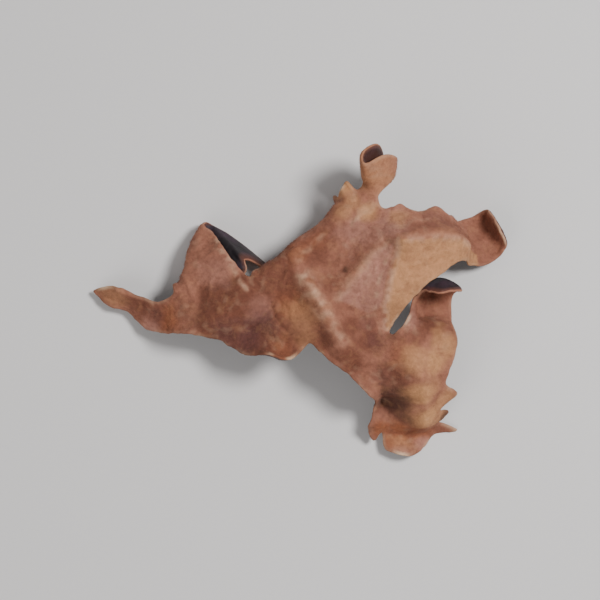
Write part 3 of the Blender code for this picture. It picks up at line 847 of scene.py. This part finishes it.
def felt_colour(tree, settings, lighter):
    """The felt's colour, with its painted highlights and shade, and the noises that it and the bumps
    share.
    """
    # Broad patches 12 mm across, mottles 2.6 mm and tufts 0.9 mm across, and matted hairs 0.3 mm apart
    sources = sources_of(tree, {
        "broad": (12.0, 5.0, 0.62, 0.0), "mottle": (2.6, 4.0, 0.6, 0.7),
        "tufts": (0.9, 3.0, 0.7, 0.0), "hairs": (0.3, 2.0, 0.5, 0.0),
    }, FELT_CARRIED)
    brown, pale, hollow = settings.felt_brown, settings.pale_felt_and_highlight, settings.painted_hollow_shade
    colour = coated(tree, settings.felt_tan, sources, (
        ("broad", 0.44, 0.62, 0.5, brown),
        # Worn felt, partly painted shade
        ("wear_and_shade", 0.0, 1.0, 1.0, brown),
        ("rust", 0.0, 1.0, 1.0, settings.felt_rust),
        ("pink", 0.0, 1.0, 1.0, settings.felt_pink),
        # Stain, partly painted shade in the valleys
        ("stain_and_shade", 0.0, 1.0, 1.0, settings.stain_and_shade_colour),
        # Paler felt, partly a painted highlight on facets turned to the light
        ("pale", 0.0, 1.0, 1.0, pale),
        # Painted shade in the hollows and round the slit
        ("hollow", 0.0, 1.0, 1.0, hollow),
        # Mottles with clear edges, where the nap lies the other way
        ("mottle", 0.52, 0.62, 0.12, pale),
        ("mottle", 0.47, 0.37, 0.22, brown),
        # Painted highlight on the crests and painted shade in the valleys
        ("crest", 0.35, 1.0, 0.16, pale),
        ("crest", -0.25, -1.0, 0.4, hollow),
        # A painted highlight and loose pale felt along the creases, and the bleached parts of the rim
        ("crease_highlight", 0.0, 1.0, 0.9, settings.crease_highlight_colour),
        ("flecked", 0.0, 1.0, 0.5, settings.rim_cream),
        ("bleached", 0.0, 1.0, 0.9, settings.rim_cream),
    ))
    # Tufts shade the gaps between them
    shade = spread_over(tree, sources["tufts"], 0.3, 0.7, 0.84 * lighter, 1.15 * lighter)
    shaded = add_node(tree, "ShaderNodeVectorMath", links={0: colour, "Scale": shade},
                      operation="SCALE")
    return shaded.outputs[0], sources


def felt_material(settings):
    """Dry felted back: short matted hairs over brown flesh, which look soft, matt and a bit dusty."""
    material, tree, shader = new_material("matted_tan_felt")
    colour, sources = felt_colour(tree, settings, 1.0)
    tree.links.new(colour, shader.inputs["Base Color"])
    shader.inputs["Roughness"].default_value = 0.88
    shader.inputs["Specular IOR Level"].default_value = 0.25
    shader.inputs["Sheen Weight"].default_value = 0.1
    shader.inputs["Sheen Roughness"].default_value = 0.5
    shader.inputs["Sheen Tint"].default_value = (*linear("#e3c2a6"), 1.0)
    puckered(tree, shader, (
        (sources["hairs"], 0.4, 0.07), (sources["tufts"], 0.55, 0.16), (sources["mottle"], 0.5, 0.4),
    ))
    return material


def dark_face_material(settings):
    """Dry fertile face: smooth horny flesh, black-brown with a purple-grey bloom and a satin gleam."""
    material, tree, shader = new_material("dark_horny_flesh")
    # Shrinkage wrinkles 1.4 mm apart with finer ones 0.4 mm apart between them
    sources = sources_of(tree, {
        "broad": (8.0, 5.0, 0.6, 0.0), "coarse": (1.4, 2.0, 0.5, 0.6), "fine": (0.4, 2.0, 0.5, 0.0),
    }, ("crest", "rim", "pale"))
    brown, bloom = settings.felt_brown, settings.face_bloom
    colour = coated(tree, settings.face_dark, sources, (
        ("broad", 0.45, 0.72, 0.8, bloom),
        # Valleys of the back are crests of this face, rubbed to a dull grey
        ("crest", -0.2, -1.0, 0.5, bloom),
        # Brown flesh shows along the thin margin, and through the face where the sheet is thin and pale
        ("rim", 0.8, 0.1, 0.6, brown),
        ("pale", 0.1, 0.7, 0.8, brown),
    ))
    tree.links.new(colour, shader.inputs["Base Color"])
    roughness = spread_over(tree, sources["broad"], 0.3, 0.7, 0.5, 0.7)
    tree.links.new(roughness, shader.inputs["Roughness"])
    shader.inputs["Specular IOR Level"].default_value = 0.3
    puckered(tree, shader, ((sources["fine"], 0.4, 0.06), (sources["coarse"], 0.5, 0.2)))
    return material


def hair_material(settings, lighter):
    """Single hairs of the nap: dry threads, coloured as the felt they stand on and a little lighter."""
    material, tree, shader = new_material("dry_felt_hair")
    tree.links.new(felt_colour(tree, settings, lighter)[0], shader.inputs["Base Color"])
    shader.inputs["Roughness"].default_value = 0.75
    return material


def floor_material(settings):
    """Matt seamless paper: an even pale tone with no gloss."""
    material, tree, shader = new_material("matt_studio_paper")
    sources = sources_of(tree, {"grain": (0.9, 2.0, 0.5, 0.0)}, ())
    darker = tuple(0.97 * c for c in settings.floor)
    colour = coated(tree, settings.floor, sources, (("grain", 0.0, 1.0, 1.0, darker),))
    tree.links.new(colour, shader.inputs["Base Color"])
    shader.inputs["Roughness"].default_value = 0.9
    return material


def rounded_rim(middle, normal):
    """The rows of points that round the sheet's rim, from its back to its face."""
    along = np.roll(middle, -1, 0) - np.roll(middle, 1, 0)
    out = np.cross(along, normal)
    out /= np.linalg.norm(out, axis=1)[:, None]
    rows = []
    for angle in np.radians(RIM_ANGLES):
        lift = normal * (RIM_HALF_THICKNESS * np.sin(angle))
        rows.append(middle + lift + out * (RIM_BULGE * RIM_HALF_THICKNESS * np.cos(angle)))
    return rows


def carry_number(mesh, name, values):
    """Gives each of a mesh's points a number that materials and nodes can read."""
    mesh.attributes.new(name, "FLOAT", "POINT").data.foreach_set("value", values)


def sheet_mesh(settings, nap_depth):
    """The closed mesh of the sheet: felted back, dark face and a rounded rim, with its attributes."""
    flat, triangles, rim_distance, rim_count = flat_sheet(settings.spacing / MM)
    wrinkle_height, wrinkle_crest = wrinkles(flat)
    height = relief(flat, rim_distance) + settings.wrinkle_height * wrinkle_height
    middle = dried(flat, height)
    normal = evened(normals_of(middle, triangles), triangles)
    half = half_thickness(rim_distance, settings.thickness / MM)
    sunk = nap_depth / MM * ease(rim_distance / RIM_TAPER)
    rows = [middle + normal * (half - sunk)[:, None]]
    rows += rounded_rim(middle[:rim_count], normal[:rim_count])
    rows.append(middle - normal * half[:, None])
    points = np.concatenate(rows)
    points[:, 2] = np.maximum(points[:, 2] - points[:, 2].min() - PRESSED_FLAT, 0.0)
    centre = (points.max(0) + points.min(0)) / 2
    points[:, :2] -= centre[:2]
    starts = np.cumsum([0] + [len(row) for row in rows])
    rim = np.arange(rim_count)
    after = np.roll(rim, -1)
    walls = np.concatenate([
        np.column_stack([rim + upper, rim + lower, after + lower, after + upper])
        for upper, lower in zip(starts[:-2], starts[1:-1])
    ])
    faces = triangles.tolist() + walls.tolist() + (triangles[:, ::-1] + starts[-2]).tolist()
    mesh = bpy.data.meshes.new("dried_sheet")
    mesh.from_pydata((points * MM).tolist(), [], faces)
    mesh.shade_smooth()
    slots = np.zeros(len(faces), np.int32)
    slots[len(triangles) + len(walls):] = 1
    mesh.polygons.foreach_set("material_index", slots)
    crest = np.clip(crests(flat)[1] + WRINKLE_SHARE * wrinkle_crest, -1.0, 1.0)
    kept = {**tints(flat, rim_distance), "crest": crest, "rim": rim_distance}
    for name, values in kept.items():
        wall_values = np.tile(values[:rim_count], len(rows) - 2)
        carry_number(mesh, name, np.concatenate([values, wall_values, values]))
    felted = np.concatenate([ease(rim_distance / RIM_TAPER), np.zeros(len(points) - len(flat))])
    carry_number(mesh, "felted", felted)
    mesh.update()
    return mesh


def nap_tree(material):
    """The geometry nodes that grow hairs on the felted part of a mesh."""
    tree = bpy.data.node_groups.new("felt_nap", "GeometryNodeTree")
    interface = tree.interface
    interface.new_socket("Geometry", in_out="INPUT", socket_type="NodeSocketGeometry")
    for name in ("Hairs per square metre", "Length", "Radius", "Lean"):
        interface.new_socket(name, in_out="INPUT", socket_type="NodeSocketFloat")
    interface.new_socket("Seed", in_out="INPUT", socket_type="NodeSocketInt")
    interface.new_socket("Geometry", in_out="OUTPUT", socket_type="NodeSocketGeometry")
    given = add_node(tree, "NodeGroupInput").outputs
    felted = add_node(tree, "GeometryNodeInputNamedAttribute", {"Name": "felted"}, data_type="FLOAT")
    density = add_node(tree, "ShaderNodeMath", operation="MULTIPLY",
                       links={0: felted.outputs[0], 1: given["Hairs per square metre"]})
    scatter = add_node(tree, "GeometryNodeDistributePointsOnFaces", distribute_method="RANDOM",
                       links={"Mesh": given["Geometry"], "Density": density.outputs[0],
                              "Seed": given["Seed"]})
    hair = add_node(tree, "GeometryNodeMeshCone", {"Vertices": HAIR_SIDES, "Radius Top": 0.0},
                    {"Radius Bottom": given["Radius"], "Depth": given["Length"]}, fill_type="NGON")
    # Each hair leans either way about both level axes and is turned at random about its own
    back_lean = add_node(tree, "ShaderNodeMath", {1: -1.0}, {0: given["Lean"]}, operation="MULTIPLY")
    least_turn = add_node(tree, "ShaderNodeCombineXYZ",
                          links={"X": back_lean.outputs[0], "Y": back_lean.outputs[0]})
    most_turn = add_node(tree, "ShaderNodeCombineXYZ", {"Z": 2 * math.pi},
                         {"X": given["Lean"], "Y": given["Lean"]})
    turn = add_node(tree, "FunctionNodeRandomValue", data_type="FLOAT_VECTOR",
                    links={0: least_turn.outputs[0], 1: most_turn.outputs[0], "Seed": given["Seed"]})
    leaning = add_node(tree, "FunctionNodeRotateRotation", rotation_space="LOCAL",
                       links={"Rotation": scatter.outputs["Rotation"], "Rotate By": turn.outputs[0]})
    size = add_node(tree, "FunctionNodeRandomValue", {2: SHORTEST_HAIR, 3: 1.0},
                    {"Seed": given["Seed"]}, data_type="FLOAT")
    placed = add_node(tree, "GeometryNodeInstanceOnPoints",
                      links={"Points": scatter.outputs["Points"], "Instance": hair.outputs["Mesh"],
                             "Rotation": leaning.outputs[0], "Scale": size.outputs[1]})
    real = add_node(tree, "GeometryNodeRealizeInstances", links={"Geometry": placed.outputs[0]})
    finished = add_node(tree, "GeometryNodeSetMaterial", {"Material": material},
                        {"Geometry": real.outputs[0]})
    add_node(tree, "NodeGroupOutput", links={"Geometry": finished.outputs[0]})
    return tree


def plain_mesh(piece):
    """Turns what a piece's modifiers make into its own mesh, and removes them."""
    graph = bpy.context.evaluated_depsgraph_get()
    made = bpy.data.meshes.new_from_object(piece.evaluated_get(graph), depsgraph=graph)
    piece.modifiers.clear()
    piece.data = made


def carry(piece):
    """Lets a piece ride on the part and stand for its solid."""
    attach(piece, "root")
    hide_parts("wood_ear")


class WOODEAR_OT_sheet(bpy.types.Operator):
    """Builds the folded sheet with its felted back, dark face and cream rim"""

    bl_idname = "wood_ear.sheet"
    bl_label = "Build the dried sheet"

    def execute(self, context):
        settings = context.scene.wood_ear_sheet
        mesh = sheet_mesh(settings, context.scene.wood_ear_nap.depth)
        mesh.materials.append(felt_material(settings))
        mesh.materials.append(dark_face_material(settings))
        sheet = bpy.data.objects.new("dried_sheet", mesh)
        context.scene.collection.objects.link(sheet)
        carry(sheet)
        return {"FINISHED"}


class WOODEAR_OT_nap(bpy.types.Operator):
    """Grows the short nap on the felted back"""

    bl_idname = "wood_ear.nap"
    bl_label = "Grow the nap"

    def execute(self, context):
        settings = context.scene.wood_ear_nap
        nap = bpy.data.objects.new("felt_nap", bpy.data.objects["dried_sheet"].data.copy())
        context.scene.collection.objects.link(nap)
        modifier = nap.modifiers.new("nap", "NODES")
        modifier.node_group = nap_tree(hair_material(context.scene.wood_ear_sheet, settings.lighter))
        given = {
            "Hairs per square metre": settings.per_square_millimetre / MM**2,
            "Length": settings.hair_length, "Radius": settings.hair_radius,
            "Lean": settings.lean, "Seed": settings.seed,
        }
        for item in modifier.node_group.interface.items_tree:
            if item.in_out == "INPUT" and item.name in given:
                modifier[item.identifier] = given[item.name]
        plain_mesh(nap)
        if not nap.data.polygons:
            raise RuntimeError("no hairs grew on the felted back")
        carry(nap)
        return {"FINISHED"}


class WOODEAR_OT_stage(bpy.types.Operator):
    """Sets up the plain floor, the studio lights and the camera that looks down on the piece"""

    bl_idname = "wood_ear.stage"
    bl_label = "Set up the studio"

    def light(self, context, name, place, width, aim, power):
        lamp = bpy.data.lights.new(name, "AREA")
        lamp.shape = "DISK"
        lamp.size = width
        lamp.energy = power
        light = bpy.data.objects.new(name, lamp)
        light.location = place
        light.rotation_euler = (aim - Vector(place)).to_track_quat("-Z", "Y").to_euler()
        context.scene.collection.objects.link(light)

    def execute(self, context):
        scene = context.scene
        settings = scene.wood_ear_stage
        low, high = CAD_BOX
        aim = (low + high) / 2
        half = settings.floor_size / 2
        corners = [(-half, -half, 0), (half, -half, 0), (half, half, 0), (-half, half, 0)]
        mesh = bpy.data.meshes.new("floor")
        mesh.from_pydata(corners, [], [(0, 1, 2, 3)])
        mesh.materials.append(floor_material(settings))
        floor = bpy.data.objects.new("floor", mesh)
        scene.collection.objects.link(floor)
        self.light(context, "key", *KEY_LIGHT, aim, settings.key_power)
        self.light(context, "fill", *FILL_LIGHT, aim, settings.fill_power)
        sky = bpy.data.worlds.new("sky")
        sky.use_nodes = True
        sky.node_tree.nodes["Background"].inputs["Color"].default_value = (1.0, 1.0, 1.0, 1.0)
        sky.node_tree.nodes["Background"].inputs["Strength"].default_value = settings.sky
        scene.world = sky
        lens = bpy.data.cameras.new("camera")
        lens.lens = settings.lens
        camera = bpy.data.objects.new("camera", lens)
        distance = (high.x - low.x) / settings.fill_of_view * settings.lens / lens.sensor_width
        away = Vector((0.0, -math.cos(settings.elevation), math.sin(settings.elevation)))
        camera.location = aim + away * distance
        camera.rotation_euler = (math.pi / 2 - settings.elevation, 0.0, 0.0)
        scene.collection.objects.link(camera)
        scene.camera = camera
        return {"FINISHED"}


class WOODEAR_PT_panel(bpy.types.Panel):
    """Lists the settings and the steps"""

    bl_label = "Dried Wood Ear"
    bl_idname = "WOODEAR_PT_panel"
    bl_space_type = "VIEW_3D"
    bl_region_type = "UI"
    bl_category = "Wood Ear"

    def draw(self, context):
        steps = (
            (context.scene.wood_ear_sheet, WOODEAR_OT_sheet),
            (context.scene.wood_ear_nap, WOODEAR_OT_nap),
            (context.scene.wood_ear_stage, WOODEAR_OT_stage),
        )
        for settings, operator in steps:
            box = self.layout.box()
            for name in settings.__annotations__:
                box.prop(settings, name)
            box.operator(operator.bl_idname)


CLASSES = (
    WoodEarSheetSettings, WoodEarNapSettings, WoodEarStageSettings,
    WOODEAR_OT_sheet, WOODEAR_OT_nap, WOODEAR_OT_stage, WOODEAR_PT_panel,
)
GROUPS = (
    ("wood_ear_sheet", WoodEarSheetSettings),
    ("wood_ear_nap", WoodEarNapSettings),
    ("wood_ear_stage", WoodEarStageSettings),
)


def register():
    for kind in CLASSES:
        bpy.utils.register_class(kind)
    for name, group in GROUPS:
        setattr(bpy.types.Scene, name, PointerProperty(type=group))


def unregister():
    for name, _ in GROUPS:
        delattr(bpy.types.Scene, name)
    for kind in reversed(CLASSES):
        bpy.utils.unregister_class(kind)


def main():
    register()
    bpy.ops.wood_ear.sheet()
    bpy.ops.wood_ear.nap()
    bpy.ops.wood_ear.stage()


if __name__ == "__main__":
    main()
